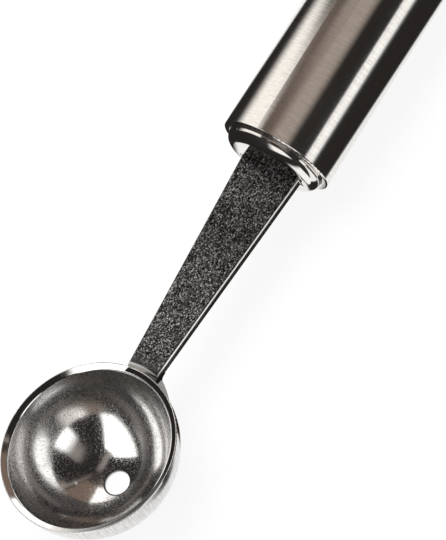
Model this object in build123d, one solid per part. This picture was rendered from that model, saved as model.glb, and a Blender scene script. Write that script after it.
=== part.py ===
from build123d import *
import math
import os

# All lengths are in millimetres. The tool is drawn along X, with the bowl's rim centred on the
# origin and its mouth up. It is then pitched and moved until it lies on the plane z = 0.

# Bowl: a drawn cup with a ground rim that slopes inward, and a drain hole at its lowest point
bowl_rim_radius = 15.0
bowl_depth = 14.4
bowl_base_wall = 0.55
rim_land = 1.2
rim_land_drop = 0.56
rim_round = 0.12
drain_radius = 2.12

# Foot: the end of the shank, pressed to the bowl's outside and brazed there
braze_gap = 0.12
braze_inset = 0.5
braze_fit = 0.01
foot_thickness = 1.6
foot_width = 7.8
foot_neck_length = 0.2
foot_trim_angle = 62.0

# Shank: a flat tapered bar, bent down to its foot at the bowl
shank_thickness = 1.65
shank_below_rim = 1.4
shank_neck_width = 5.8
shank_edge_round = 0.35
bend_radius = 2.5
knee_radius = 1.0
root_overlap = 0.3

# Handle tube, with both ends open and their edges broken
handle_start = 57.0
handle_below_rim = 1.0
tube_radius = 9.7
tube_wall = 1.15
tube_length = 100.0
tube_edge_round = 0.28

# Drawn end plugs, pressed and bonded into the tube's ends
plug_fit = 0.05
plug_wall = 0.9
plug_proud = 2.0
plug_skirt = 9.0
plug_corner_round = 1.8
plug_inner_round = 0.5
bond_groove_depth = 0.3
bond_groove_length = 3.0
bond_groove_inset = 4.0
bond_fit = 0.02

# Tang: the shank's parallel end, which passes through the front plug's slot and is welded inside
tang_length = 9.0
tang_corner = 1.5
slot_fit = 0.2
slot_lip_round = 0.25
slot_face_margin = 0.12
tang_weld_width = 6.0
tang_weld_leg = 1.1
weld_fit = 0.02

# Hanging loop: a bent wire, whose legs pass through the rear plug and are welded inside
wire_radius = 1.5
loop_reach = 19.0
leg_length = 5.0
leg_fit = 0.1
leg_weld_leg = 0.9
leg_weld_margin = 0.18

# One allowance by which cutting solids run past what they cut
overrun = 1.0

# Places that follow from the sizes above
handle_axis_z = -handle_below_rim
plug_radius = tube_radius - tube_wall - plug_fit
front_face_x = handle_start - plug_proud
handle_end_x = handle_start + tube_length
rear_face_x = handle_end_x + plug_proud
shank_top_z = -shank_below_rim
shank_bottom_z = shank_top_z - shank_thickness
foot_centre_z = shank_bottom_z - foot_neck_length - foot_width / 2

# The slot is as wide as the front plug's flat face allows, and the tang fills it but for its fit
slot_top_z = shank_top_z + slot_fit
slot_bottom_z = shank_bottom_z - slot_fit
slot_offset = max(slot_top_z - handle_axis_z, handle_axis_z - slot_bottom_z)
slot_corner_reach = plug_radius - plug_corner_round - slot_face_margin - slot_lip_round
slot_width = 2 * math.sqrt(slot_corner_reach**2 - slot_offset**2)
shank_tang_width = slot_width - 2 * slot_fit

# The loop's legs stand as far apart as the welds inside the rear plug allow
plug_floor_radius = plug_radius - plug_wall - plug_inner_round
leg_weld_radius = wire_radius + weld_fit + leg_weld_leg
loop_spacing = 2 * (plug_floor_radius - leg_weld_margin - leg_weld_radius)


def cap_radius(mouth_radius, depth):
    """Radius of the sphere whose cap has this mouth radius and depth."""
    return (mouth_radius**2 + depth**2) / (2 * depth)


bowl_outer_radius = cap_radius(bowl_rim_radius, bowl_depth)
bowl_outer_z = bowl_outer_radius - bowl_depth
bowl_mouth_radius = bowl_rim_radius - rim_land
bowl_inner_depth = bowl_depth - bowl_base_wall
bowl_inner_radius = cap_radius(bowl_mouth_radius, bowl_inner_depth - rim_land_drop)
bowl_inner_z = bowl_inner_radius - bowl_inner_depth
foot_inner_radius = bowl_outer_radius + braze_gap
foot_outer_radius = foot_inner_radius + foot_thickness


def sphere_z(radius, centre_z, distance):
    """Height of a sphere's lower half at a distance from its upright axis."""
    return centre_z - math.sqrt(radius**2 - distance**2)


def arc_between(centre, start, end):
    """The shorter arc about a centre from one point to another."""
    first = math.degrees(math.atan2(start[1] - centre[1], start[0] - centre[0]))
    last = math.degrees(math.atan2(end[1] - centre[1], end[0] - centre[0]))
    turn = (last - first + 180) % 360 - 180
    return CenterArc(centre, math.dist(centre, start), first, turn)


def toward(centre, target, distance):
    """The point at a distance from a centre, on the line to a target."""
    share = distance / math.dist(centre, target)
    return (centre[0] + (target[0] - centre[0]) * share, centre[1] + (target[1] - centre[1]) * share)


def closed_face(edges):
    """A face in the XZ plane, bounded by edges drawn as (x, z)."""
    return Plane.XZ * make_face(Wire(edges))


def about_handle(outline):
    """A solid of revolution about the handle's axis, from a face of (x, distance from the axis)."""
    return Pos(0, 0, handle_axis_z) * revolve(Plane.XZ * outline, Axis.X)


def make_bowl():
    outer_centre = (0, bowl_outer_z)
    inner_centre = (0, bowl_inner_z)
    rim = (bowl_rim_radius, 0)
    mouth = (bowl_mouth_radius, -rim_land_drop)
    hole_bottom = (drain_radius, sphere_z(bowl_outer_radius, bowl_outer_z, drain_radius))
    hole_top = (drain_radius, sphere_z(bowl_inner_radius, bowl_inner_z, drain_radius))
    section = make_face(Wire([
        arc_between(outer_centre, rim, hole_bottom),
        Line(hole_bottom, hole_top),
        arc_between(inner_centre, hole_top, mouth),
        Line(mouth, rim),
    ]))
    section = fillet(section.vertices(), rim_round)
    return revolve(Plane.XZ * section, Axis.Z)


def shank_half_width(x):
    """Half the width of the tapered bar at a place along it."""
    taper = (shank_tang_width - shank_neck_width) / (front_face_x - bowl_rim_radius)
    return (shank_neck_width + taper * (x - bowl_rim_radius)) / 2


def foot_outline(inset):
    """The foot seen from the handle: a round end with straight flanks up to the neck."""
    radius = foot_width / 2 - inset
    neck = shank_half_width(bowl_rim_radius) - inset
    top_z = shank_bottom_z
    rise = top_z - foot_centre_z
    lean = math.atan2(rise, neck)
    spread = math.acos(radius / math.hypot(rise, neck))
    touch = (radius * math.cos(lean - spread), foot_centre_z + radius * math.sin(lean - spread))
    end = (0, foot_centre_z - radius)
    half = [Line((0, top_z), (neck, top_z)), Line((neck, top_z), touch),
            arc_between((0, foot_centre_z), touch, end)]
    right = make_face(Wire(half + [Line(end, (0, top_z))]))
    return right + mirror(right, Plane.YZ)


def bend_centre():
    """Centre of the bend on top, whose arc touches the bowl's outside and the bar's top."""
    bend_z = shank_top_z - bend_radius
    reach = foot_inner_radius + bend_radius
    return (math.sqrt(reach**2 - (bend_z - bowl_outer_z)**2), bend_z)


def knee_centre():
    """Centre of the hollow knee below, whose arc touches the foot and the bar's underside."""
    knee_z = shank_bottom_z - knee_radius
    reach = foot_outer_radius + knee_radius
    return (math.sqrt(reach**2 - (knee_z - bowl_outer_z)**2), knee_z)


def root_end_x():
    """Where the turned root ends, just past the bend and the knee."""
    return max(bend_centre()[0], knee_centre()[0]) + root_overlap


def foot_prism(inset):
    """The foot's outline, run out along the handle's side of the bowl."""
    return extrude(Plane.YZ * foot_outline(inset), root_end_x())


def root_section():
    """Half section of the bend and foot, turned about the bowl's own upright axis."""
    ball = (0, bowl_outer_z)
    bend = bend_centre()
    knee = knee_centre()
    low = math.radians(-foot_trim_angle)
    inner_end = (foot_inner_radius * math.cos(low), bowl_outer_z + foot_inner_radius * math.sin(low))
    outer_end = toward(ball, inner_end, foot_outer_radius)
    bend_top = (bend[0], shank_top_z)
    knee_top = (knee[0], shank_bottom_z)
    bend_touch = toward(ball, bend, foot_inner_radius)
    knee_touch = toward(ball, knee, foot_outer_radius)
    end_top = (root_end_x(), shank_top_z)
    end_bottom = (root_end_x(), shank_bottom_z)
    return closed_face([
        Line(end_top, bend_top),
        arc_between(bend, bend_top, bend_touch),
        arc_between(ball, bend_touch, inner_end),
        Line(inner_end, outer_end),
        arc_between(ball, outer_end, knee_touch),
        arc_between(knee, knee_touch, knee_top),
        Line(knee_top, end_bottom),
        Line(end_bottom, end_top),
    ])


def bar_outline(start_x, end_x):
    """The tapered bar and its parallel tang, seen from above."""
    near = shank_half_width(start_x)
    wide = shank_tang_width / 2
    side = [(start_x, near), (front_face_x, wide), (end_x - tang_corner, wide),
            (end_x, wide - tang_corner)]
    other = [(x, -y) for x, y in reversed(side)]
    return make_face(Polyline(side + other, close=True))


def long_edges(bar, level):
    """A bar's edges along its taper and its tang: level 0 is its underside, and -1 its top."""
    edges = bar.edges().group_by(Axis.Z)[level]
    shortest = 2 * tang_corner
    return [edge for edge in edges if edge.length > shortest and abs(edge.center().Y) > tang_corner]


def make_shank():
    tang_end = front_face_x + plug_wall + tang_length
    root = Rot(0, 0, -90) * revolve(root_section(), Axis.Z, 180)
    neck = extrude(bar_outline(bowl_rim_radius / 2, tang_end), shank_thickness + knee_radius)
    neck = Pos(0, 0, shank_bottom_z - knee_radius) * neck
    neck = fillet(long_edges(neck, -1), shank_edge_round)
    bar = extrude(bar_outline(root_end_x() - root_overlap, tang_end), shank_thickness)
    bar = Pos(0, 0, shank_bottom_z) * bar
    bar = fillet(long_edges(bar, -1) + long_edges(bar, 0), shank_edge_round)
    return (root & neck) + (root & foot_prism(0)) + bar


def make_braze():
    shell = Sphere(foot_inner_radius - braze_fit) - Sphere(bowl_outer_radius + braze_fit)
    shell = Pos(0, 0, bowl_outer_z) * shell
    return shell & foot_prism(braze_inset)


def bond_groove_x():
    """Where the bond groove starts, measured from a plug's outer face."""
    return plug_proud + bond_groove_inset


def make_cup():
    """A plain plug: a cup about X, with its outer face at x = 0 and its mouth toward +X."""
    length = plug_proud + plug_skirt
    inner = plug_radius - plug_wall
    cup = make_face(Polyline([(0, 0), (0, plug_radius), (length, plug_radius), (length, inner),
                              (plug_wall, inner), (plug_wall, 0)], close=True))
    face_corner = cup.vertices().sort_by_distance((0, plug_radius))[0]
    cup = fillet(face_corner, plug_corner_round)
    inner_corner = cup.vertices().sort_by_distance((plug_wall, inner))[0]
    cup = fillet(inner_corner, plug_inner_round)
    groove = Pos(bond_groove_x(), plug_radius - bond_groove_depth)
    groove *= Rectangle(bond_groove_length, 2 * bond_groove_depth, align=(Align.MIN, Align.MIN))
    return about_handle(cup - groove)


def make_bond():
    """The ring of adhesive in a plug's groove, reaching out to the tube's bore."""
    inner = plug_radius - bond_groove_depth + bond_fit
    outer = tube_radius - tube_wall - bond_fit
    ring = Pos(bond_groove_x() + bond_fit, inner)
    ring *= Rectangle(bond_groove_length - 2 * bond_fit, outer - inner, align=(Align.MIN, Align.MIN))
    return about_handle(ring)


def at_front(piece):
    return Pos(front_face_x, 0, 0) * piece


def at_rear(piece):
    return Pos(rear_face_x, 0, 0) * Rot(0, 0, 180) * piece


def make_front_plug():
    plug = at_front(make_cup())
    slot = Box(2 * plug_wall + overrun, slot_width, slot_top_z - slot_bottom_z)
    plug -= Pos(front_face_x, 0, (slot_top_z + slot_bottom_z) / 2) * slot
    lip = plug.edges().filter_by_position(Axis.X, front_face_x, front_face_x)
    lip = lip.filter_by(GeomType.LINE)
    return fillet(lip, slot_lip_round)


def make_tang_welds():
    """Two weld beads, above and below the tang, against the plug's inner face."""
    start_x = front_face_x + plug_wall + weld_fit
    beads = []
    for side, face_z in ((1, shank_top_z), (-1, shank_bottom_z)):
        root_z = face_z + side * weld_fit
        bead = closed_face([
            Line((start_x, root_z), (start_x + tang_weld_leg, root_z)),
            arc_between((start_x, root_z), (start_x + tang_weld_leg, root_z),
                        (start_x, root_z + side * tang_weld_leg)),
            Line((start_x, root_z + side * tang_weld_leg), (start_x, root_z)),
        ])
        beads.append(extrude(bead, tang_weld_width / 2, both=True))
    return Compound(children=[Solid(bead.solid().wrapped) for bead in beads])


def make_handle_tube():
    wall = make_face(Polyline([
        (handle_start, tube_radius - tube_wall), (handle_end_x, tube_radius - tube_wall),
        (handle_end_x, tube_radius), (handle_start, tube_radius)], close=True))
    wall = fillet(wall.vertices(), tube_edge_round)
    return about_handle(wall)


def loop_path():
    """Centre line of the wire, in the level plane through the handle's axis."""
    leg = loop_spacing / 2
    start_x = rear_face_x - plug_wall - leg_length
    bow_x = rear_face_x + loop_reach - wire_radius - leg
    return Wire([Line((start_x, leg), (bow_x, leg)),
                 CenterArc((bow_x, 0), leg, 90, -180),
                 Line((bow_x, -leg), (start_x, -leg))])


def make_hanging_loop():
    path = loop_path()
    section = Plane(origin=path @ 0, z_dir=path % 0) * Circle(wire_radius)
    loop = sweep(section, path=path)
    return Pos(0, 0, handle_axis_z) * loop


def make_rear_plug():
    plug = at_rear(make_cup())
    for side in (1, -1):
        hole = Rot(0, 90, 0) * Cylinder(wire_radius + leg_fit, 2 * plug_wall + overrun)
        plug -= Pos(rear_face_x, side * loop_spacing / 2, handle_axis_z) * hole
    return plug


def make_loop_welds():
    """A ring of weld round each leg, against the plug's inner face."""
    inner = wire_radius + weld_fit
    face_x = rear_face_x - plug_wall - weld_fit
    beads = []
    for side in (1, -1):
        ring = make_face(Polyline([(face_x, inner), (face_x, leg_weld_radius),
                                   (face_x - leg_weld_leg, inner)], close=True))
        bead = revolve(Plane.XZ * ring, Axis.X)
        beads.append(Pos(0, side * loop_spacing / 2, handle_axis_z) * bead)
    return Compound(children=[Solid(bead.solid().wrapped) for bead in beads])


def drain_edge_centre():
    """Centre of the rounded edge round the drain hole's outside, as (x, z)."""
    edge_x = drain_radius + rim_round
    return (edge_x, sphere_z(bowl_outer_radius - rim_round, bowl_outer_z, edge_x))


def rest_pitch():
    """Slope, in degrees, of the line that the drain hole's edge and the tube's rear edge lie on."""
    near = drain_edge_centre()
    far = (handle_end_x - tube_edge_round, handle_axis_z - tube_radius + tube_edge_round)
    slope = math.atan2(far[1] - near[1], far[0] - near[0])
    return math.degrees(slope + math.asin((rim_round - tube_edge_round) / math.dist(near, far)))


def make_pieces():
    """Every piece in the tool's own frame, by node name."""
    return {
        "bowl": make_bowl(),
        "bowl_braze": make_braze(),
        "shank": make_shank(),
        "front_plug": make_front_plug(),
        "front_plug_bond": at_front(make_bond()),
        "tang_welds": make_tang_welds(),
        "handle_tube": make_handle_tube(),
        "rear_plug": make_rear_plug(),
        "rear_plug_bond": at_rear(make_bond()),
        "hanging_loop": make_hanging_loop(),
        "loop_welds": make_loop_welds(),
    }


def resting_place(pieces):
    """The pitch and move that lay the tool on z = 0, centred over the origin."""
    pitch = rest_pitch()
    pitched = Rot(0, pitch, 0)
    box = Compound(children=[pitched * piece for piece in pieces.values()]).bounding_box()
    edge_x, edge_z = drain_edge_centre()
    lowest = edge_z * math.cos(math.radians(pitch)) - edge_x * math.sin(math.radians(pitch)) - rim_round
    return Pos(-box.center().X, 0, -lowest) * pitched


def main():
    os.makedirs("parts", exist_ok=True)
    pieces = make_pieces()
    place = resting_place(pieces)
    for name, piece in pieces.items():
        export_step(place * piece, f"parts/{name}.step")


main()
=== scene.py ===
"""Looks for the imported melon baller: steel finishes on every piece, a white table and a soft studio.

Everything is in metres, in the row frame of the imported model, apart from two things. The zones of the
bowl and the shank are in millimetres in the tool's own frame, where X runs along the handle and the bowl's
rim is at zero. The studio's cards are in millimetres from the spot on the table under the middle of the
bowl, with X along the handle and Z up.
"""
import logging
import math
from dataclasses import dataclass
from enum import Enum

import bpy
from mathutils import Euler, Matrix, Vector


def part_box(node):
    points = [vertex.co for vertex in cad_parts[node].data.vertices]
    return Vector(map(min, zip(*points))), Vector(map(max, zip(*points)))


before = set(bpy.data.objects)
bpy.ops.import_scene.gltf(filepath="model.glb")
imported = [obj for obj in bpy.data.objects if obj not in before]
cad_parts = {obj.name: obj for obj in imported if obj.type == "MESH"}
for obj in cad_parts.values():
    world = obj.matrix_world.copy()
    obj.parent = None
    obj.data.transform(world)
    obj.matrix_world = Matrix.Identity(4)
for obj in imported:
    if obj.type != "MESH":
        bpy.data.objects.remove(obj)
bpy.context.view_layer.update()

MM = 0.001
MM_PER_METRE = 1000.0

log = logging.getLogger("melon_baller")

Colour = tuple[float, float, float]
Point = tuple[float, float, float]
Span = tuple[float, float]
Softness = tuple[float, float, float, float]
Socket = bpy.types.NodeSocket
Tree = bpy.types.NodeTree
Node = bpy.types.Node
Material = bpy.types.Material
Feed = float | tuple | Socket


@dataclass(frozen=True)
class Resting:
    """How the tool lies: pitched about Y and moved from its own frame to the row frame."""

    pitch_degrees: float = 1.3092276
    shift_mm: Point = (-81.4699, 0.0, 14.2781)

    def tool_place(self, bench: "NodeBench", place: Socket) -> Socket:
        """Turns a place on a piece into the tool's own frame, in millimetres.

        Args:
            bench: The bench of the material.
            place: The piece's Object coordinates.

        Returns:
            The place in the tool's own frame.
        """
        back = tuple(-value * MM for value in self.shift_mm)
        moved = bench.add("ShaderNodeMapping", {"Vector": place, "Location": back}).outputs[0]
        angles = (0.0, math.radians(-self.pitch_degrees), 0.0)
        level = bench.add("ShaderNodeMapping", {"Vector": moved, "Rotation": angles}).outputs[0]
        inputs = {"Vector": level, "Scale": (MM_PER_METRE, MM_PER_METRE, MM_PER_METRE)}
        return bench.add("ShaderNodeMapping", inputs).outputs[0]


RESTING = Resting()


class BowlZone(Enum):
    """The differently worked faces of the bowl, by the name of their mask."""

    WALL = "Wall"
    LAND = "Land"
    OUTSIDE = "Outside"
    HOLE_WALL = "Hole wall"
    HOLE_EDGE = "Hole edge"
    LAND_PROFILE = "Land profile"


class ShankZone(Enum):
    """The differently worked faces of the shank, by the name of their mask."""

    TOP = "Top"
    BEND = "Bend"


class NodeBench:
    """A node tree with short ways to add nodes and join them."""

    FIRST_COLOUR = 6
    SECOND_COLOUR = 7
    MIXED_COLOUR = 2

    def __init__(self, tree: Tree) -> None:
        """Starts on a tree.

        Args:
            tree: The node tree that the nodes go into.
        """
        self.tree = tree

    def feed(self, socket: Socket, value: Feed) -> None:
        """Gives a socket its value, or a link.

        Args:
            socket: The input to set.
            value: A number, a colour or vector, or the output to link from.
        """
        if isinstance(value, Socket):
            self.tree.links.new(value, socket)
        elif isinstance(value, tuple) and socket.type == "RGBA" and len(value) == 3:
            socket.default_value = (*value, 1.0)
        else:
            socket.default_value = value

    def add(self, kind: str, inputs: dict[str | int, Feed] | None = None,
            **settings: object) -> Node:
        """Adds a node.

        Args:
            kind: The node's type.
            inputs: What goes into its sockets, by name or number.
            **settings: Properties of the node itself.

        Returns:
            The new node.
        """
        node = self.tree.nodes.new(kind)
        for name, value in settings.items():
            setattr(node, name, value)
        for name, value in (inputs or {}).items():
            self.feed(node.inputs[name], value)
        return node

    def math(self, operation: str, first: Feed, second: Feed = 0.0, third: Feed = 0.0) -> Socket:
        """Adds a Math node and returns its output.

        Args:
            operation: The sum to work out, as Blender names it.
            first: Its first value.
            second: Its second value.
            third: Its third value, where it has one.

        Returns:
            The result.
        """
        inputs = {0: first, 1: second, 2: third}
        return self.add("ShaderNodeMath", inputs, operation=operation).outputs[0]

    def times(self, first: Feed, second: Feed) -> Socket:
        """Multiplies two values."""
        return self.math("MULTIPLY", first, second)

    def opposite(self, share: Feed) -> Socket:
        """Takes a share away from 1."""
        return self.math("SUBTRACT", 1.0, share)

    def remap(self, value: Feed, source: Span, target: tuple[Feed, Feed], smooth: bool = False) -> Socket:
        """Maps a value from one range to another, held at its ends.

        Args:
            value: The value to map.
            source: The range it comes from.
            target: The range it goes to.
            smooth: Whether the change eases in and out.

        Returns:
            The mapped value.
        """
        style = "SMOOTHSTEP" if smooth else "LINEAR"
        inputs = {"Value": value, "From Min": source[0], "From Max": source[1],
                  "To Min": target[0], "To Max": target[1]}
        return self.add("ShaderNodeMapRange", inputs, interpolation_type=style).outputs["Result"]

    def share(self, value: Feed, source: Span, smooth: bool = False) -> Socket:
        """Maps a value to a share that goes from 0 at the start of a range to 1 at its end."""
        return self.remap(value, source, (0.0, 1.0), smooth)

    def noise(self, place: Feed, scale: Feed, detail: float = 2.0, roughness: float = 0.5) -> Socket:
        """Adds a noise texture and returns its value from 0 to 1.

        Args:
            place: Where on the piece it is read.
            scale: How fine it is.
            detail: How many finer layers it adds.
            roughness: How strong these layers are.

        Returns:
            The noise.
        """
        inputs = {"Vector": place, "Scale": scale, "Detail": detail, "Roughness": roughness}
        return self.add("ShaderNodeTexNoise", inputs).outputs["Fac"]

    def apart(self, place: Feed) -> tuple[Socket, Socket, Socket]:
        """Takes a place apart.

        Args:
            place: The place.

        Returns:
            Its X, Y and Z.
        """
        split = self.add("ShaderNodeSeparateXYZ", {0: place})
        return split.outputs["X"], split.outputs["Y"], split.outputs["Z"]

    def together(self, along: Feed, across: Feed, height: Feed) -> Socket:
        """Puts a place together from its X, Y and Z."""
        return self.add("ShaderNodeCombineXYZ", {"X": along, "Y": across, "Z": height}).outputs[0]

    def distance(self, place: Feed, centre: Point) -> Socket:
        """Measures how far a place is from a point.

        Args:
            place: The place.
            centre: The point.

        Returns:
            The distance.
        """
        apart = self.add("ShaderNodeVectorMath", {0: place, 1: centre}, operation="DISTANCE")
        return apart.outputs["Value"]

    def number(self, share: Feed, first: Feed, second: Feed) -> Socket:
        """Mixes two numbers.

        Args:
            share: How much of the second number shows.
            first: The first number.
            second: The second number.

        Returns:
            The mixed number.
        """
        return self.remap(share, (0.0, 1.0), (first, second))

    def stretched(self, place: Feed, scale: Point, turn: Point = (0.0, 0.0, 0.0)) -> Socket:
        """Scales a place by its own amount along each axis.

        Args:
            place: The place to scale.
            scale: The amount along X, Y and Z.
            turn: Turn about each axis, in degrees, before the scaling.

        Returns:
            The scaled place.
        """
        angles = tuple(math.radians(angle) for angle in turn)
        turned = self.add("ShaderNodeMapping", {"Vector": place, "Rotation": angles}).outputs[0]
        return self.add("ShaderNodeMapping", {"Vector": turned, "Scale": scale}).outputs[0]

    def mix(self, share: Feed, first: Feed, second: Feed) -> Socket:
        """Mixes two colours.

        Args:
            share: How much of the second colour shows.
            first: The first colour.
            second: The second colour.

        Returns:
            The mixed colour.
        """
        inputs = {0: share, self.FIRST_COLOUR: first, self.SECOND_COLOUR: second}
        return self.add("ShaderNodeMix", inputs, data_type="RGBA").outputs[self.MIXED_COLOUR]

    def bump(self, height: Feed, depth: float, normal: Feed | None = None) -> Socket:
        """Turns a height into a normal.

        Args:
            height: The height, as a share of the depth.
            depth: How far a height of 1 stands out, in metres.
            normal: A normal that this one is added to.

        Returns:
            The bumped normal.
        """
        inputs = {"Height": height, "Distance": depth, "Strength": 1.0}
        if normal is not None:
            inputs["Normal"] = normal
        return self.add("ShaderNodeBump", inputs).outputs[0]


class Effect:
    """An effect that several finishes share: a node group that is built once."""

    @staticmethod
    def start(name: str, amount: str | None, outputs: tuple[str, ...]) -> tuple[NodeBench, Node, Node]:
        """Starts a node group that reads a place on a piece.

        Args:
            name: The group's name.
            amount: The name of its second input, if it has one.
            outputs: The names of its outputs.

        Returns:
            A bench on the group, its input node and its output node.
        """
        tree = bpy.data.node_groups.new(name, "ShaderNodeTree")
        tree.interface.new_socket(name="Place", in_out="INPUT", socket_type="NodeSocketVector")
        if amount is not None:
            tree.interface.new_socket(name=amount, in_out="INPUT", socket_type="NodeSocketFloat")
        for output in outputs:
            tree.interface.new_socket(name=output, in_out="OUTPUT", socket_type="NodeSocketFloat")
        bench = NodeBench(tree)
        return bench, bench.add("NodeGroupInput"), bench.add("NodeGroupOutput")


@dataclass(frozen=True)
class BrushLines(Effect):
    """Lines that a belt leaves: long, uneven strokes over fine parallel grain."""

    fine_layers: float = 3.0
    fine_strength: float = 0.7
    fine_share: float = 0.4
    coarse_scale: float = 0.37
    coarse_layers: float = 1.0
    coarse_share: float = 0.6
    stroke_tones: Span = (0.38, 0.66)

    def build(self) -> Tree:
        """Builds the group. The place it reads is already stretched along the strokes.

        Returns:
            The group, with the lines' height and a mask of the strokes.
        """
        bench, given, result = self.start("brush_lines", "Fineness", ("Height", "Stroke"))
        place, fineness = given.outputs["Place"], given.outputs["Fineness"]
        fine = bench.noise(place, fineness, self.fine_layers, self.fine_strength)
        coarse = bench.noise(place, bench.times(fineness, self.coarse_scale), self.coarse_layers)
        grain = bench.times(fine, self.fine_share)
        bench.feed(result.inputs["Height"], bench.math("MULTIPLY_ADD", coarse, self.coarse_share, grain))
        bench.feed(result.inputs["Stroke"], bench.share(fine, self.stroke_tones))
        return bench.tree


@dataclass(frozen=True)
class HandlingHaze(Effect):
    """Cloudy patches where hands and cloths have dulled the polish, with finer specks."""

    cloud_layers: float = 4.0
    cloud_strength: float = 0.55
    cloud_tones: Span = (0.35, 0.7)
    speck_scale: float = 23.0
    speck_layers: float = 2.0
    speck_strength: float = 0.6
    speck_tones: Span = (0.56, 0.7)

    def build(self) -> Tree:
        """Builds the group.

        Returns:
            The group, whose haze and specks run from 0 to 1.
        """
        bench, given, result = self.start("handling_haze", "Patches", ("Haze", "Specks"))
        place, patches = given.outputs["Place"], given.outputs["Patches"]
        cloud = bench.noise(place, patches, self.cloud_layers, self.cloud_strength)
        fineness = bench.times(patches, self.speck_scale)
        specks = bench.noise(place, fineness, self.speck_layers, self.speck_strength)
        bench.feed(result.inputs["Haze"], bench.share(cloud, self.cloud_tones, smooth=True))
        bench.feed(result.inputs["Specks"], bench.share(specks, self.speck_tones, smooth=True))
        return bench.tree


@dataclass(frozen=True)
class Hairlines(Effect):
    """Fine scratches in several directions, as use leaves them."""

    turns: tuple[Point, Point, Point] = ((0.0, 12.0, 24.0), (35.0, -20.0, 71.0), (-48.0, 31.0, 128.0))
    stretch: Point = (1.0, 0.045, 0.045)
    layers: float = 1.0
    tones: Span = (0.66, 0.71)

    def build(self) -> Tree:
        """Builds the group.

        Returns:
            The group, with a mask of the scratches and their height.
        """
        bench, given, result = self.start("hairlines", "Spacing", ("Mask", "Height"))
        masks: list[Socket] = []
        for turn in self.turns:
            place = bench.stretched(given.outputs["Place"], self.stretch, turn)
            lines = bench.noise(place, given.outputs["Spacing"], self.layers)
            masks.append(bench.share(lines, self.tones, smooth=True))
        both = bench.math("MAXIMUM", masks[0], masks[1])
        every = bench.math("MAXIMUM", both, masks[2])
        bench.feed(result.inputs["Mask"], every)
        bench.feed(result.inputs["Height"], bench.opposite(every))
        return bench.tree


@dataclass(frozen=True)
class TumbledSkin(Effect):
    """The peened skin of a tumbled blank: small overlapping dents, with a random tone per dent that the
    shank paints as glints.
    """

    dent_share: float = 0.5
    ripple_scale: float = 0.55
    ripple_layers: float = 3.0
    ripple_strength: float = 0.65
    ripple_share: float = 0.8
    dent_tone_share: float = 0.6
    grain_scale: float = 1.15
    grain_layers: float = 1.0
    grain_tones: Span = (0.22, 0.78)
    grain_share: float = 0.4

    def build(self) -> Tree:
        """Builds the group.

        Returns:
            The group, with the dents' height and a random tone per dent, which the shank turns into
            near-black speckle and painted glints.
        """
        bench, given, result = self.start("tumbled_skin", "Grain", ("Height", "Tone"))
        place, fineness = given.outputs["Place"], given.outputs["Grain"]
        inputs = {"Vector": place, "Scale": fineness, "Randomness": 1.0}
        dents = bench.add("ShaderNodeTexVoronoi", inputs, feature="F1")
        ripple_fineness = bench.times(fineness, self.ripple_scale)
        ripple = bench.noise(place, ripple_fineness, self.ripple_layers, self.ripple_strength)
        rippled = bench.times(ripple, self.ripple_share)
        height = bench.math("MULTIPLY_ADD", dents.outputs["Distance"], self.dent_share, rippled)
        # Each dent's random tone, which later becomes painted glints and dark speckle in the shank's
        # colour.
        dent_tone = bench.apart(dents.outputs["Color"])[0]
        grain = bench.noise(place, bench.times(fineness, self.grain_scale), self.grain_layers)
        grained = bench.remap(grain, self.grain_tones, (0.0, self.grain_share))
        bench.feed(result.inputs["Height"], height)
        bench.feed(result.inputs["Tone"], bench.math("MULTIPLY_ADD", dent_tone, self.dent_tone_share, grained))
        return bench.tree


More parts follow.
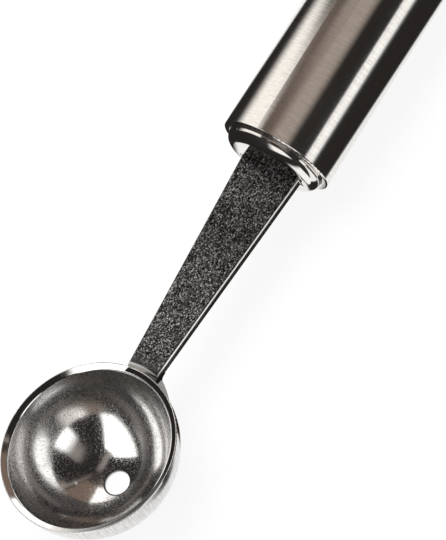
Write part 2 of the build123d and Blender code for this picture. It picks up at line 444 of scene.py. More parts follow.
@dataclass(frozen=True)
class BowlZones(Effect):
    """Masks of the bowl's faces, and the fine profile of its land, with sizes in millimetres.

    Each span is the way over which a mask goes from 0 to 1.
    """

    wall_heights: Span = (-10.5, -4.0)
    land_heights: Span = (-0.66, -0.6)
    cup_centre: Point = (0.0, 0.0, 0.61)
    outside_distances: Span = (14.9, 14.96)
    rim_heights: Span = (-0.16, -0.1)
    hole_heights: Span = (-12.0, -12.5)
    hole_wall_radii: Span = (2.18, 2.14)
    hole_edge_radii: Span = (2.42, 2.32)
    land_radius: float = 14.1
    rounding_width: float = 0.3
    rounding: float = -1.4
    worn_middle: Point = (13.97, -3.48, 0.0)
    worn_distances: Span = (6.2, 5.0)
    worn_slope: float = -0.2

    def build(self) -> Tree:
        """Builds the group.

        Returns:
            The group, which reads a place in the tool's frame.
        """
        bench, given, result = self.start("bowl_zones", None, tuple(zone.value for zone in BowlZone))
        place = given.outputs["Place"]
        along, across, height = bench.apart(place)
        flat = bench.together(along, across, 0.0)
        radius = bench.distance(flat, (0.0, 0.0, 0.0))
        outer = bench.share(bench.distance(place, self.cup_centre), self.outside_distances)
        outside = bench.times(outer, bench.opposite(bench.share(height, self.rim_heights)))
        low = bench.share(height, self.hole_heights)
        hole_wall = bench.times(bench.share(radius, self.hole_wall_radii), low)
        hole_edge = bench.times(bench.share(radius, self.hole_edge_radii), low)
        profile = self.land_profile(bench, flat, radius)
        masks = {BowlZone.WALL: bench.share(height, self.wall_heights, smooth=True),
                 BowlZone.LAND: bench.share(height, self.land_heights),
                 BowlZone.OUTSIDE: outside,
                 BowlZone.HOLE_WALL: hole_wall,
                 BowlZone.HOLE_EDGE: bench.math("SUBTRACT", hole_edge, hole_wall),
                 BowlZone.LAND_PROFILE: bench.times(profile, bench.opposite(outside))}
        for zone, mask in masks.items():
            bench.feed(result.inputs[zone.value], mask)
        return bench.tree

    def land_profile(self, bench: NodeBench, flat: Socket, radius: Socket) -> Socket:
        """Works out the land's rounded inner edge and its flatter, worn stretch beside the shank.

        Args:
            bench: The bench of the group.
            flat: The place, brought down to the rim's height.
            radius: Its distance from the bowl's axis.

        Returns:
            The height that this adds to the land, in millimetres.
        """
        inwards = bench.math("MAXIMUM", bench.math("SUBTRACT", self.land_radius, radius), 0.0)
        inner_edge = bench.math("MINIMUM", inwards, self.rounding_width)
        rounded = bench.times(bench.times(inner_edge, inner_edge), self.rounding)
        outwards = bench.math("MAXIMUM", bench.math("SUBTRACT", radius, self.land_radius), 0.0)
        worn = bench.times(outwards, self.worn_slope)
        by_shank = bench.share(bench.distance(flat, self.worn_middle), self.worn_distances, smooth=True)
        return bench.math("MULTIPLY_ADD", worn, by_shank, rounded)


@dataclass(frozen=True)
class ShankZones(Effect):
    """Masks of the shank's tumbled top and of its bend at the bowl, with sizes in millimetres."""

    top_heights: Span = (-1.55, -1.45)
    bend_places: Span = (18.2, 16.2)

    def build(self) -> Tree:
        """Builds the group.

        Returns:
            The group, which reads a place in the tool's frame.
        """
        bench, given, result = self.start("shank_zones", None, tuple(zone.value for zone in ShankZone))
        along, _, height = bench.apart(given.outputs["Place"])
        bench.feed(result.inputs[ShankZone.TOP.value], bench.share(height, self.top_heights))
        bench.feed(result.inputs[ShankZone.BEND.value], bench.share(along, self.bend_places, smooth=True))
        return bench.tree


class SteelEffects:
    """Every shared effect, built once."""

    def __init__(self) -> None:
        """Builds the groups."""
        self.brush_lines = BrushLines().build()
        self.handling_haze = HandlingHaze().build()
        self.hairlines = Hairlines().build()
        self.tumbled_skin = TumbledSkin().build()
        self.bowl_zones = BowlZones().build()
        self.shank_zones = ShankZones().build()


class Finish:
    """What every finish shares: a material with one Principled shader, a metal unless it says so."""

    @staticmethod
    def start(name: str) -> tuple[NodeBench, Material, Node, Socket]:
        """Starts a material.

        Args:
            name: The material's name.

        Returns:
            A bench on it, the material, its Principled shader and the piece's Object coordinates.
        """
        bench, material = blank_material(name)
        shader = bench.add("ShaderNodeBsdfPrincipled", {"Metallic": 1.0})
        bench.add("ShaderNodeOutputMaterial", {"Surface": shader.outputs[0]})
        place = bench.add("ShaderNodeTexCoord").outputs["Object"]
        return bench, material, shader, place

    @staticmethod
    def effect(bench: NodeBench, group: Tree, place: Socket, amount: float) -> Node:
        """Places a shared effect in a material.

        Args:
            bench: The material's bench.
            group: The effect.
            place: Where on the piece it is read.
            amount: The value of its second input.

        Returns:
            The group's node.
        """
        node = bench.add("ShaderNodeGroup", node_tree=group)
        bench.feed(node.inputs[0], place)
        bench.feed(node.inputs[1], amount)
        return node

    @staticmethod
    def paint(bench: NodeBench, shader: Node, colour: Feed, roughness: Feed, normal: Feed) -> None:
        """Feeds a shader its colour, roughness and normal.

        Args:
            bench: The material's bench.
            shader: The Principled shader.
            colour: Its base colour.
            roughness: Its roughness.
            normal: Its normal.
        """
        bench.feed(shader.inputs["Base Color"], colour)
        bench.feed(shader.inputs["Roughness"], roughness)
        bench.feed(shader.inputs["Normal"], normal)


@dataclass(frozen=True)
class BrushedSteel(Finish):
    """Steel brushed round the tool's length, as a belt leaves it."""

    name: str
    colour: Colour = (0.90, 0.875, 0.84)
    worn_colour: Colour = (0.72, 0.695, 0.66)
    worn_share: float = 0.8
    roughness: float = 0.13
    haze_roughness: float = 0.17
    stroke_dulling: float = 0.35
    anisotropy: float = 0.5
    anisotropy_turn: float = 0.25
    line_scale: Point = (1.0, 0.09, 0.09)
    line_fineness: float = 4700.0
    line_depth: float = 0.000006
    haze_patches: float = 55.0

    def make(self, effects: SteelEffects) -> Material:
        """Builds the material.

        Args:
            effects: The shared effects.

        Returns:
            The material.
        """
        bench, material, shader, place = self.start(self.name)
        strokes = bench.stretched(place, self.line_scale)
        lines = self.effect(bench, effects.brush_lines, strokes, self.line_fineness)
        haze = self.effect(bench, effects.handling_haze, place, self.haze_patches)
        stroke = lines.outputs["Stroke"]
        tint = bench.mix(bench.times(stroke, self.worn_share), self.colour, self.worn_colour)
        dull = bench.math("MULTIPLY_ADD", stroke, self.stroke_dulling, haze.outputs["Haze"])
        dullest = 1.0 + self.stroke_dulling
        rough = bench.remap(dull, (0.0, dullest), (self.roughness, self.haze_roughness))
        self.paint(bench, shader, tint, rough, bench.bump(lines.outputs["Height"], self.line_depth))
        shader.inputs["Anisotropic"].default_value = self.anisotropy
        shader.inputs["Anisotropic Rotation"].default_value = self.anisotropy_turn
        tangent = bench.add("ShaderNodeTangent", direction_type="RADIAL", axis="X")
        bench.feed(shader.inputs["Tangent"], tangent.outputs[0])
        return material


@dataclass(frozen=True)
class Wear:
    """What the wear of a polished face comes to."""

    dull: Socket
    tint: Socket
    stroke: Socket
    normal: Socket


@dataclass(frozen=True)
class PolishedSteel(Finish):
    """What polished steel shares: a faint buffing grain, haze and hairline scratches."""

    name: str
    colour: Colour = (0.84, 0.825, 0.80)
    hazed_colour: Colour = (0.76, 0.745, 0.72)
    hazed_share: float = 0.6
    scratch_dulling: float = 0.5
    grain_fineness: float = 5000.0
    grain_depth: float = 0.000004
    scratch_spacing: float = 1500.0
    scratch_depth: float = 0.0000009
    haze_patches: float = 130.0

    def wear(self, bench: NodeBench, effects: SteelEffects, place: Socket) -> Wear:
        """Adds the grain, the haze and the scratches.

        Args:
            bench: The material's bench.
            effects: The shared effects.
            place: Where on the piece they are read.

        Returns:
            What they come to.
        """
        haze = self.effect(bench, effects.handling_haze, place, self.haze_patches).outputs["Haze"]
        scratches = self.effect(bench, effects.hairlines, place, self.scratch_spacing)
        grain = self.effect(bench, effects.brush_lines, place, self.grain_fineness)
        dull = bench.math("MULTIPLY_ADD", scratches.outputs["Mask"], self.scratch_dulling, haze)
        tint = bench.mix(bench.times(dull, self.hazed_share), self.colour, self.hazed_colour)
        fine = bench.bump(grain.outputs["Height"], self.grain_depth)
        normal = bench.bump(scratches.outputs["Height"], self.scratch_depth, fine)
        return Wear(dull, tint, grain.outputs["Stroke"], normal)


@dataclass(frozen=True)
class MirrorSteel(PolishedSteel):
    """Steel polished to a mirror all over."""

    roughness: float = 0.08
    haze_roughness: float = 0.14

    def make(self, effects: SteelEffects) -> Material:
        """Builds the material.

        Args:
            effects: The shared effects.

        Returns:
            The material.
        """
        bench, material, shader, place = self.start(self.name)
        wear = self.wear(bench, effects, place)
        dullest = 1.0 + self.scratch_dulling
        rough = bench.remap(wear.dull, (0.0, dullest), (self.roughness, self.haze_roughness))
        self.paint(bench, shader, wear.tint, rough, wear.normal)
        return material


@dataclass(frozen=True)
class BowlSteel(PolishedSteel):
    """The bowl's steel: buffed inside, with a ground rim land, a brushed outside and a punched hole."""

    colour: Colour = (0.86, 0.85, 0.845)
    hazed_colour: Colour = (0.76, 0.75, 0.74)
    grain_fineness: float = 4400.0
    grain_share: float = 0.22
    streak_share: float = 0.5
    punched_colour: Colour = (0.30, 0.29, 0.28)
    # Painted shade: a near-black colour for the thin ring round the hole's edge.
    hole_edge_shade_colour: Colour = (0.035, 0.033, 0.031)
    floor_roughness: float = 0.055
    wall_roughness: float = 0.13
    haze_roughness: float = 0.03
    speck_roughness: float = 0.3
    land_roughness: float = 0.06
    outside_roughness: float = 0.1
    punched_roughness: float = 0.35
    brush_depth: float = 0.0000045
    strokes_round_rim: float = 62.0
    strokes_down_wall: float = 0.3

    def make(self, effects: SteelEffects) -> Material:
        """Builds the material.

        Args:
            effects: The shared effects.

        Returns:
            The material.
        """
        bench, material, shader, place = self.start(self.name)
        tool = RESTING.tool_place(bench, place)
        zones = bench.add("ShaderNodeGroup", {0: tool}, node_tree=effects.bowl_zones).outputs
        outside = zones[BowlZone.OUTSIDE.value]
        wear = self.wear(bench, effects, place)
        brushing = self.effect(bench, effects.brush_lines, self.meridians(bench, tool), 1.0)
        tint = bench.mix(bench.times(wear.stroke, self.grain_share), wear.tint, self.punched_colour)
        streak = bench.times(bench.times(brushing.outputs["Stroke"], outside), self.streak_share)
        tint = bench.mix(streak, tint, self.punched_colour)
        tint = bench.mix(zones[BowlZone.HOLE_WALL.value], tint, self.punched_colour)
        # Painted shade: the hole's edge is painted near-black as a dark line at its rim.
        tint = bench.mix(zones[BowlZone.HOLE_EDGE.value], tint, self.hole_edge_shade_colour)
        rough = bench.number(zones[BowlZone.WALL.value], self.floor_roughness, self.wall_roughness)
        rough = bench.math("MULTIPLY_ADD", wear.dull, self.haze_roughness, rough)
        speck = bench.times(wear.stroke, wear.stroke)
        rough = bench.math("MULTIPLY_ADD", speck, self.speck_roughness, rough)
        rough = bench.number(zones[BowlZone.LAND.value], rough, self.land_roughness)
        rough = bench.number(outside, rough, self.outside_roughness)
        for zone in (BowlZone.HOLE_WALL, BowlZone.HOLE_EDGE):
            rough = bench.number(zones[zone.value], rough, self.punched_roughness)
        lines = bench.times(brushing.outputs["Height"], outside)
        brushed = bench.bump(lines, self.brush_depth, wear.normal)
        profiled = bench.bump(zones[BowlZone.LAND_PROFILE.value], MM, brushed)
        self.paint(bench, shader, tint, rough, profiled)
        return material

    def meridians(self, bench: NodeBench, tool: Socket) -> Socket:
        """Finds the place along brush strokes that run from the rim down to the hole.

        Args:
            bench: The material's bench.
            tool: The place in the tool's frame.

        Returns:
            A place that hardly changes along a stroke.
        """
        along, across, height = bench.apart(tool)
        flat = bench.together(along, across, 0.0)
        round_rim = bench.add("ShaderNodeVectorMath", {0: flat}, operation="NORMALIZE").outputs[0]
        first, second, _ = bench.apart(round_rim)
        strokes = [bench.times(side, self.strokes_round_rim) for side in (first, second)]
        return bench.together(strokes[0], strokes[1], bench.times(height, self.strokes_down_wall))


@dataclass(frozen=True)
class TumbledSteel(Finish):
    """The steel of a blank with a tumbled top and smooth cut sides; the top's colour is a dark speckle,
    from near-black to near-white, partly its real tumbled tone and partly painted glints.
    """

    name: str
    even_tone: float = 0.5
    middle_tone: float = 0.056
    brightest: float = 0.8
    contrast: float = 7.0
    # The top's speckle runs from this near-black colour to the near-white one below: partly real tumbled
    # tone, partly painted glints.
    dark_speckle_colour: Colour = (0.002, 0.002, 0.002)
    painted_glint_colour: Colour = (0.92, 0.915, 0.925)
    side_colour: Colour = (0.72, 0.705, 0.69)
    bend_colour: Colour = (0.13, 0.127, 0.124)
    bend_share: float = 0.75
    bend_smoothing: float = 0.6
    roughness: float = 0.26
    dull_roughness: float = 0.4
    side_roughness: float = 0.055
    side_hazing: float = 1.5
    grain: float = 5000.0
    dent_depth: float = 0.00005
    haze_patches: float = 160.0

    def make(self, effects: SteelEffects) -> Material:
        """Builds the material.

        Args:
            effects: The shared effects.

        Returns:
            The material.
        """
        bench, material, shader, place = self.start(self.name)
        tool = RESTING.tool_place(bench, place)
        zones = bench.add("ShaderNodeGroup", {0: tool}, node_tree=effects.shank_zones).outputs
        top, bend = zones[ShankZone.TOP.value], zones[ShankZone.BEND.value]
        skin = self.effect(bench, effects.tumbled_skin, place, self.grain)
        haze = self.effect(bench, effects.handling_haze, place, self.haze_patches).outputs["Haze"]
        # Painted glints: each dent's random tone is spread into near-black speckle and near-white glints
        # in the base colour.
        swing = bench.times(bench.math("SUBTRACT", skin.outputs["Tone"], self.even_tone), self.contrast)
        glint = bench.times(bench.math("EXPONENT", swing), self.middle_tone)
        bright = bench.math("MINIMUM", glint, self.brightest)
        speckled = bench.mix(bright, self.dark_speckle_colour, self.painted_glint_colour)
        tint = bench.mix(top, self.side_colour, speckled)
        tint = bench.mix(bench.times(bend, self.bend_share), tint, self.bend_colour)
        rough = bench.number(haze, self.roughness, self.dull_roughness)
        smooth = bench.number(haze, self.side_roughness, self.side_roughness * self.side_hazing)
        calm = bench.opposite(bench.times(bend, self.bend_smoothing))
        dents = bench.bump(bench.times(skin.outputs["Height"], bench.times(top, calm)), self.dent_depth)
        self.paint(bench, shader, tint, bench.number(top, smooth, rough), dents)
        return material


@dataclass(frozen=True)
class JoiningMetal(Finish):
    """Metal that was melted in place: weld beads and braze, with ripples and heat colours."""

    name: str
    colour: Colour = (0.62, 0.58, 0.53)
    tempered_colour: Colour = (0.34, 0.27, 0.22)
    roughness: float = 0.28
    burnt_roughness: float = 0.5
    ripple_fineness: float = 1900.0
    ripple_depth: float = 0.00003
    haze_patches: float = 700.0

    def make(self, effects: SteelEffects) -> Material:
        """Builds the material.

        Args:
            effects: The shared effects.

        Returns:
            The material.
        """
        bench, material, shader, place = self.start(self.name)
        ripples = self.effect(bench, effects.brush_lines, place, self.ripple_fineness)
        burn = self.effect(bench, effects.handling_haze, place, self.haze_patches).outputs["Haze"]
        tint = bench.mix(burn, self.colour, self.tempered_colour)
        rough = bench.number(burn, self.roughness, self.burnt_roughness)
        self.paint(bench, shader, tint, rough, bench.bump(ripples.outputs["Height"], self.ripple_depth))
        return material


@dataclass(frozen=True)
class CuredAdhesive(Finish):
    """Grey structural adhesive, cured in its groove, with small voids."""

    name: str
    colour: Colour = (0.17, 0.17, 0.165)
    void_colour: Colour = (0.09, 0.09, 0.088)
    roughness: float = 0.55
    void_roughness: float = 0.75
    void_depth: float = 0.00004
    haze_patches: float = 900.0

    def make(self, effects: SteelEffects) -> Material:
        """Builds the material.

        Args:
            effects: The shared effects.

        Returns:
            The material.
        """
        bench, material, shader, place = self.start(self.name)
        shader.inputs["Metallic"].default_value = 0.0
        voids = self.effect(bench, effects.handling_haze, place, self.haze_patches)
        tint = bench.mix(voids.outputs["Haze"], self.colour, self.void_colour)
        rough = bench.number(voids.outputs["Haze"], self.roughness, self.void_roughness)
        self.paint(bench, shader, tint, rough, bench.bump(voids.outputs["Specks"], self.void_depth))
        return material


def blank_material(name: str) -> tuple[NodeBench, Material]:
    """Starts a material with no nodes.

    Args:
        name: The material's name.

    Returns:
        A bench on it, and the material.
    """
    material = bpy.data.materials.new(name)
    material.use_nodes = True
    material.node_tree.nodes.clear()
    return NodeBench(material.node_tree), material


def show_only_in_reflections(thing: bpy.types.Object) -> None:
    """Hides a thing from every ray but glossy ones.

    Args:
        thing: The thing that stands in the studio.
    """
    for way in ("camera", "diffuse", "transmission", "volume_scatter", "shadow"):
        setattr(thing, f"visible_{way}", False)


def lay_plane(name: str, width: float) -> bpy.types.Object:
    """Lays a square plane on the table.

    Args:
        name: Its name.
        width: Its width, in metres.

    Returns:
        The plane.
    """
    bpy.ops.object.select_all(action="DESELECT")
    bpy.ops.mesh.primitive_plane_add(size=width)
    plane = bpy.context.object
    plane.name = name
    return plane


def dress(node: str, material: Material) -> None:
    """Gives a CAD node its finish and reports it.

    Args:
        node: The node's name.
        material: The finish.
    """
    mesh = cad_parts[node].data
    for index in range(len(mesh.materials)):
        mesh.materials[index] = material
    log.info("%s is finished in %s", node, material.name)


@dataclass(frozen=True)
class Bowl:
    """The drawn cup and the braze under it."""

    effects: SteelEffects

    def build(self) -> None:
        """Dresses the bowl and its braze."""
        dress("bowl", BowlSteel("bowl_steel").make(self.effects))
        dress("bowl_braze", JoiningMetal("braze_metal", colour=(0.70, 0.62, 0.44)).make(self.effects))


@dataclass(frozen=True)
class Shank:
    """The tapered bar with its foot and tang, and the tang's welds."""

    effects: SteelEffects

    def build(self) -> None:
        """Dresses the shank and its welds."""
        dress("shank", TumbledSteel("tumbled_blank").make(self.effects))
        dress("tang_welds", JoiningMetal("tang_weld_metal").make(self.effects))


@dataclass(frozen=True)
class Handle:
    """The tube with a plug in each end."""

    effects: SteelEffects

    def build(self) -> None:
        """Dresses the tube, its plugs and their bonds."""
        dress("handle_tube", BrushedSteel("brushed_tube").make(self.effects))
        mirror = MirrorSteel("plug_mirror").make(self.effects)
        adhesive = CuredAdhesive("grey_adhesive").make(self.effects)
        for end in ("front", "rear"):
            dress(f"{end}_plug", mirror)
            dress(f"{end}_plug_bond", adhesive)


@dataclass(frozen=True)
class HangingLoop:
    """The bent wire at the rear, and the welds round its legs."""

    effects: SteelEffects

    def build(self) -> None:
        """Dresses the wire and its welds."""
        wire = MirrorSteel("drawn_wire", roughness=0.14, haze_roughness=0.22)
        dress("hanging_loop", wire.make(self.effects))
        dress("loop_welds", JoiningMetal("loop_weld_metal").make(self.effects))


SHARPEST_EDGE = 0.001
EVENLY_SOFT = (0.15, 0.15, 0.15, 0.15)
# How high above the table the cards that face the bowl aim.
RIM_HEIGHT_MM = 14.25

WHITE = (1.0, 0.99, 0.97)
CREAM = (1.0, 0.97, 0.93)
BLACK = (0.023, 0.0205, 0.0195)
SHADE = (0.06, 0.06, 0.064)
BROWN = (0.21, 0.15, 0.115)
DARK_UMBER = (0.05, 0.041, 0.036)
UMBER = (0.107, 0.08, 0.067)
TAUPE = (0.39, 0.333, 0.293)
GREY = (0.27, 0.24, 0.22)


@dataclass(frozen=True)
class Card:
    """A flat studio card that only reflections meet, in millimetres from the spot under the bowl.

    It shows on one side only, the one that the cross product of across and up points to. Its softness is
    how much of it fades at its left, right, lower and upper edge.
    """

    name: str
    middle: Point
    across: Point
    up: Point
    colour: Colour
    strength: float = 1.0
    soft: Softness = (0.08, 0.08, 0.08, 0.08)

    def build(self) -> None:
        """Stands the card in the studio."""
        card = lay_plane(self.name, 2.0)
        facing = Vector(self.across).cross(Vector(self.up)).normalized()
        corners = Matrix((self.across, self.up, facing)).transposed().to_4x4()
        centre = (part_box("bowl")[0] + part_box("bowl")[1]) * 0.5
        spot = Matrix.Translation(centre * Vector((1.0, 1.0, 0.0)))
        card.data.transform(spot @ Matrix.Scale(MM, 4) @ Matrix.Translation(self.middle) @ corners)
        card.data.materials.append(self.surface())
        show_only_in_reflections(card)
        log.info("card %s stands in the studio", self.name)

    def surface(self) -> Material:
        """Builds the card's glowing surface, which fades out towards its edges and is clear from behind.

        Returns:
            The material.
        """
        bench, material = blank_material(f"{self.name}_surface")
        from_left, from_foot, _ = bench.apart(bench.add("ShaderNodeTexCoord").outputs["UV"])
        from_edges = (from_left, bench.opposite(from_left), from_foot, bench.opposite(from_foot))
        cover: Feed = 1.0
        for from_edge, soft in zip(from_edges, self.soft):
            fade = bench.share(from_edge, (0.0, max(soft, SHARPEST_EDGE)), smooth=True)
            cover = bench.times(cover, fade)
        behind = bench.add("ShaderNodeNewGeometry").outputs["Backfacing"]
        cover = bench.times(cover, bench.opposite(behind))
        glow = bench.add("ShaderNodeEmission", {"Color": self.colour, "Strength": self.strength})
        clear = bench.add("ShaderNodeBsdfTransparent")
        shown = bench.add("ShaderNodeMixShader", {0: cover, 1: clear.outputs[0], 2: glow.outputs[0]})
        bench.add("ShaderNodeOutputMaterial", {"Surface": shown.outputs[0]})
        return material


def facing_bowl(name: str, azimuth: float, elevation: float, distance: float, size: Span, colour: Colour,
                strength: float = 1.0, soft: Softness = EVENLY_SOFT) -> Card:
    """Describes a card that faces the bowl.

    Args:
        name: The card's name.
        azimuth: Its direction round the bowl, in degrees from the handle's.
        elevation: Its height above the rim, in degrees.
        distance: How far it stands off, in millimetres.
        size: Its width and height, in degrees as the bowl sees them.
        colour: Its colour.
        strength: How bright it is.
        soft: The share that fades at its left, right, lower and upper edge.

    Returns:
        The card.
    """
    turn, rise = math.radians(azimuth), math.radians(elevation)
    out = Vector((math.cos(rise) * math.cos(turn), math.cos(rise) * math.sin(turn), math.sin(rise)))
    side = Vector((math.sin(turn), -math.cos(turn), 0.0))
    top = side.cross(out)
    half = [distance * math.tan(math.radians(angle / 2)) for angle in size]
    middle = Vector((0.0, 0.0, RIM_HEIGHT_MM)) + out * distance
    return Card(name, tuple(middle), tuple(side * half[0]), tuple(top * half[1]), colour, strength, soft)


def by_corners(name: str, low_left: Point, low_right: Point, high_right: Point, colour: Colour,
               strength: float = 1.0, soft: Softness = EVENLY_SOFT) -> Card:
    """Describes a leaning card by three of its corners.

    Args:
        name: The card's name.
        low_left: Its lower left corner as the bowl sees it.
        low_right: Its lower right corner.
        high_right: Its upper right corner.
        colour: Its colour.
        strength: How bright it is.
        soft: The share that fades at its left, right, lower and upper edge.

    Returns:
        The card.
    """
    corners = [Vector(corner) for corner in (low_left, low_right, high_right)]
    across = (corners[1] - corners[0]) * 0.5
    up = (corners[2] - corners[1]) * 0.5
    middle = (corners[0] + corners[2]) * 0.5
    return Card(name, tuple(middle), tuple(across), tuple(up), colour, strength, soft)


CARDS = (
    by_corners("left_softbox", (-110.5, -60.0, 4.0), (-85.8, 161.5, 157.0), (-191.0, 110.2, 783.0),
               WHITE, 2.0, (0.14, 0.1, 0.05, 0.4)),
    facing_bowl("left_bounce", 128.0, 25.0, 420.0, (34.0, 14.0), GREY, 0.8),
    Card("rear_softbox", (63.0, 70.0, 125.0), (51.0, 0.0, 0.0), (0.0, 0.0, 105.0), CREAM, 1.1,
         (0.1, 0.16, 0.18, 0.1)),
    Card("front_softbox", (-2.0, -130.0, 75.0), (-50.0, 0.0, 0.0), (0.0, 0.0, 75.0), WHITE, 1.9,
         (0.25, 0.25, 0.0, 0.5)),
    facing_bowl("front_haze", 279.0, 50.0, 180.0, (40.0, 30.0), GREY, 1.1, (0.4, 0.4, 0.3, 0.4)),
    Card("side_flag", (48.0, -86.0, 136.0), (0.0, -74.0, 0.0), (0.0, 0.0, 100.0), BLACK, 1.0,
         (0.05, 0.05, 0.05, 0.05)),
    Card("brown_board", (48.0, 5.5, 61.0), (0.0, -15.5, 0.0), (0.0, 0.0, 37.0), BROWN, 1.0,
         (0.1, 0.1, 0.0, 0.12)),
    Card("white_return", (48.0, 34.0, 58.0), (0.0, -13.5, 0.0), (0.0, 0.0, 43.0), CREAM, 1.6,
         (0.1, 0.06, 0.05, 0.2)),
    Card("umber_board", (48.5, 3.5, 130.0), (0.0, -17.5, 0.0), (0.0, 0.0, 96.0), DARK_UMBER, 1.0,
         (0.1, 0.1, 0.0, 0.1)),
    Card("window_glint", (47.0, -12.6, 59.0), (0.0, -3.5, 0.0), (0.0, 0.0, 3.0), WHITE, 1.0,
         (0.3, 0.3, 0.3, 0.3)),
    Card("overhead_grey", (-21.0, -5.0, 300.0), (101.0, 0.0, 0.0), (0.0, -30.0, 0.0), GREY, 1.1,
         (0.3, 0.3, 0.3, 0.3)),
    Card("tube_taupe", (250.0, -90.0, 200.0), (190.0, 0.0, 0.0), (0.0, -110.0, 0.0), TAUPE, 1.0,
         (0.02, 0.1, 0.3, 0.45)),
    Card("tube_rear_taupe", (260.0, 20.0, 199.0), (145.0, 0.0, 0.0), (0.0, -50.0, 0.0), TAUPE, 0.9,
         (0.06, 0.1, 0.6, 0.2)),
    Card("tube_umber", (250.0, 60.0, 210.0), (190.0, 0.0, 0.0), (0.0, -110.0, 0.0), UMBER, 1.25,
         (0.02, 0.1, 0.1, 0.1)),
    Card("near_floor_flag", (287.0, -33.7, 0.4), (230.0, 29.0, 0.0), (0.0, 49.9, 0.0), BLACK, 1.0,
         (0.0, 0.0, 0.55, 0.02)),
    Card("front_strip", (140.0, -190.0, 14.0), (-160.0, 0.0, 0.0), (0.0, 0.0, 14.0), WHITE, 1.12,
         (0.1, 0.0, 0.0, 0.3)),
    Card("far_floor_flag", (123.0, 282.5, 0.4), (171.0, 168.0, 0.0), (-105.0, 107.0, 0.0), BLACK, 1.0,
         (0.0, 0.0, 0.03, 0.02)),
    Card("far_wall_flag", (200.0, 420.0, 50.0), (300.0, 0.0, 0.0), (0.0, 0.0, 50.0), BLACK),
    Card("shank_shade", (33.5, -6.6, 0.4), (24.5, -1.57, 0.0), (0.0, 5.2, 0.0), BLACK, 1.0,
         (0.1, 0.03, 0.05, 0.2)),
    Card("bowl_shade", (4.0, -18.6, 0.4), (13.0, 2.5, 0.0), (-0.4, 2.6, 0.0), SHADE, 1.0,
         (0.5, 0.5, 0.2, 0.5)),
    Card("plug_flag", (49.5, 0.0, 36.0), (0.0, 110.0, 0.0), (0.0, 0.0, 34.0), BLACK, 1.0,
         (0.02, 0.02, 0.02, 0.1)),
    Card("plug_window", (49.9, -9.0, 30.0), (0.0, 7.5, 0.0), (0.0, 0.0, 9.0), WHITE, 1.15,
         (0.12, 0.25, 0.08, 0.6)),
    Card("plug_low_window", (49.9, -10.0, 8.5), (0.0, 5.5, 0.0), (0.0, 0.0, 7.5), WHITE, 1.1,
         (0.2, 0.2, 0.02, 0.2)),
)


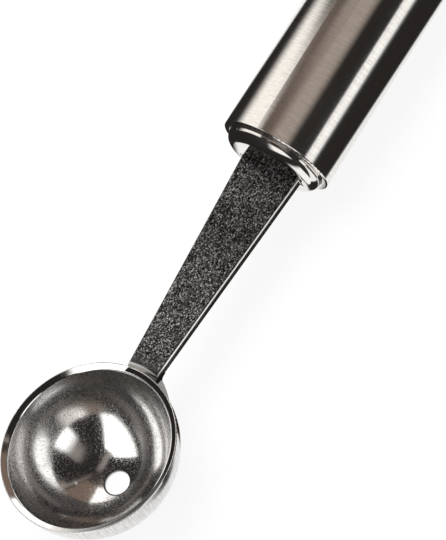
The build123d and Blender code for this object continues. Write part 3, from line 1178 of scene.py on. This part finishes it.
@dataclass(frozen=True)
class Studio:
    """The table, the black tent with its cards, the lamp and the world."""

    table_width: float = 24.0
    table_glow: float = 0.86
    paper: Colour = (0.86, 0.86, 0.86)
    room_white: Colour = (1.0, 1.0, 1.0)
    room_light: float = 0.85
    tent_radius_mm: float = 900.0
    tent_lowest_degrees: float = 9.5
    tent_sides: int = 64
    lamp_place: Point = (0.1, 0.25, 1.1)
    lamp_size: float = 0.9
    lamp_watts: float = 9.0

    def build(self) -> None:
        """Builds everything in the studio."""
        self.lay_table()
        self.hang_tent()
        for card in CARDS:
            card.build()
        self.set_world()
        self.hang_lamp()

    @staticmethod
    def shown_as_white(bench: NodeBench) -> Socket:
        """Finds the rays that see the plain white backdrop.

        Args:
            bench: The bench of the table's material or the world.

        Returns:
            1 for camera, glossy and transmission rays, and 0 for the rest.
        """
        rays = bench.add("ShaderNodeLightPath")
        seen = bench.math("MAXIMUM", rays.outputs["Is Camera Ray"], rays.outputs["Is Glossy Ray"])
        return bench.math("MAXIMUM", seen, rays.outputs["Is Transmission Ray"])

    def lay_table(self) -> None:
        """Lays the white table that the tool rests on, which keeps a faint shadow."""
        table = lay_plane("table", self.table_width)
        bench, material = blank_material("table_white")
        paper = bench.add("ShaderNodeBsdfDiffuse", {"Color": self.paper})
        glow = bench.add("ShaderNodeEmission", {"Color": self.room_white, "Strength": 1.0})
        share = bench.times(self.shown_as_white(bench), self.table_glow)
        both = bench.add("ShaderNodeMixShader", {0: share, 1: paper.outputs[0], 2: glow.outputs[0]})
        bench.add("ShaderNodeOutputMaterial", {"Surface": both.outputs[0]})
        table.data.materials.append(material)

    def hang_tent(self) -> None:
        """Hangs the black tent, a dome that only reflections meet and that is open near the table."""
        radius = self.tent_radius_mm * MM
        sides, rings = self.tent_sides, self.tent_sides // 2
        bpy.ops.object.select_all(action="DESELECT")
        bpy.ops.mesh.primitive_uv_sphere_add(segments=sides, ring_count=rings, radius=radius)
        tent = bpy.context.object
        tent.name = "black_tent"
        lowest = radius * math.sin(math.radians(self.tent_lowest_degrees))
        bpy.ops.object.mode_set(mode="EDIT")
        bpy.ops.mesh.select_all(action="SELECT")
        bpy.ops.mesh.bisect(plane_co=(0.0, 0.0, lowest), plane_no=(0.0, 0.0, 1.0), clear_inner=True)
        bpy.ops.object.mode_set(mode="OBJECT")
        bench, material = blank_material("tent_black")
        glow = bench.add("ShaderNodeEmission", {"Color": BLACK, "Strength": 1.0})
        bench.add("ShaderNodeOutputMaterial", {"Surface": glow.outputs[0]})
        tent.data.materials.append(material)
        show_only_in_reflections(tent)

    def set_world(self) -> None:
        """Makes the world plain white where it is seen, and a plain level where it lights."""
        world = bpy.data.worlds.new("white_room")
        bpy.context.scene.world = world
        world.use_nodes = True
        world.node_tree.nodes.clear()
        bench = NodeBench(world.node_tree)
        strength = bench.number(self.shown_as_white(bench), self.room_light, 1.0)
        sky = bench.add("ShaderNodeBackground", {"Color": self.room_white, "Strength": strength})
        bench.add("ShaderNodeOutputWorld", {"Surface": sky.outputs[0]})

    def hang_lamp(self) -> None:
        """Hangs one soft lamp above, for the shadow under the tool."""
        data = bpy.data.lights.new("overhead_lamp", "AREA")
        data.shape = "DISK"
        data.size = self.lamp_size
        data.energy = self.lamp_watts
        lamp = bpy.data.objects.new("overhead_lamp", data)
        lamp.location = self.lamp_place
        lamp.rotation_euler = Vector(self.lamp_place).to_track_quat("Z", "Y").to_euler()
        lamp.visible_glossy = False
        lamp.visible_camera = False
        bpy.context.scene.collection.objects.link(lamp)


@dataclass(frozen=True)
class ProductCamera:
    """The long lens that looks down at the bowl from its far side."""

    place: Point = (-0.28998879, -0.6019517, 1.0318408)
    turn_degrees: Point = (26.10728775, 19.90321024, -57.00231741)
    lens_mm: float = 502.3262
    sensor_mm: float = 36.0
    farthest_seen: float = 100.0

    def build(self) -> None:
        """Sets up the camera and makes it the scene's own."""
        data = bpy.data.cameras.new("product_camera")
        data.lens = self.lens_mm
        data.sensor_width = self.sensor_mm
        data.sensor_fit = "AUTO"
        data.clip_end = self.farthest_seen
        camera = bpy.data.objects.new("product_camera", data)
        camera.location = self.place
        camera.rotation_euler = Euler([math.radians(angle) for angle in self.turn_degrees], "XYZ")
        bpy.context.scene.collection.objects.link(camera)
        bpy.context.scene.camera = camera


def main() -> None:
    """Dresses the tool and sets up the studio."""
    logging.basicConfig(level=logging.INFO, format="%(name)s: %(message)s")
    bpy.context.scene.view_settings.view_transform = "Standard"
    ProductCamera().build()
    effects = SteelEffects()
    for part in (Bowl(effects), Shank(effects), Handle(effects), HangingLoop(effects)):
        part.build()
    Studio().build()


if __name__ == "__main__":
    main()
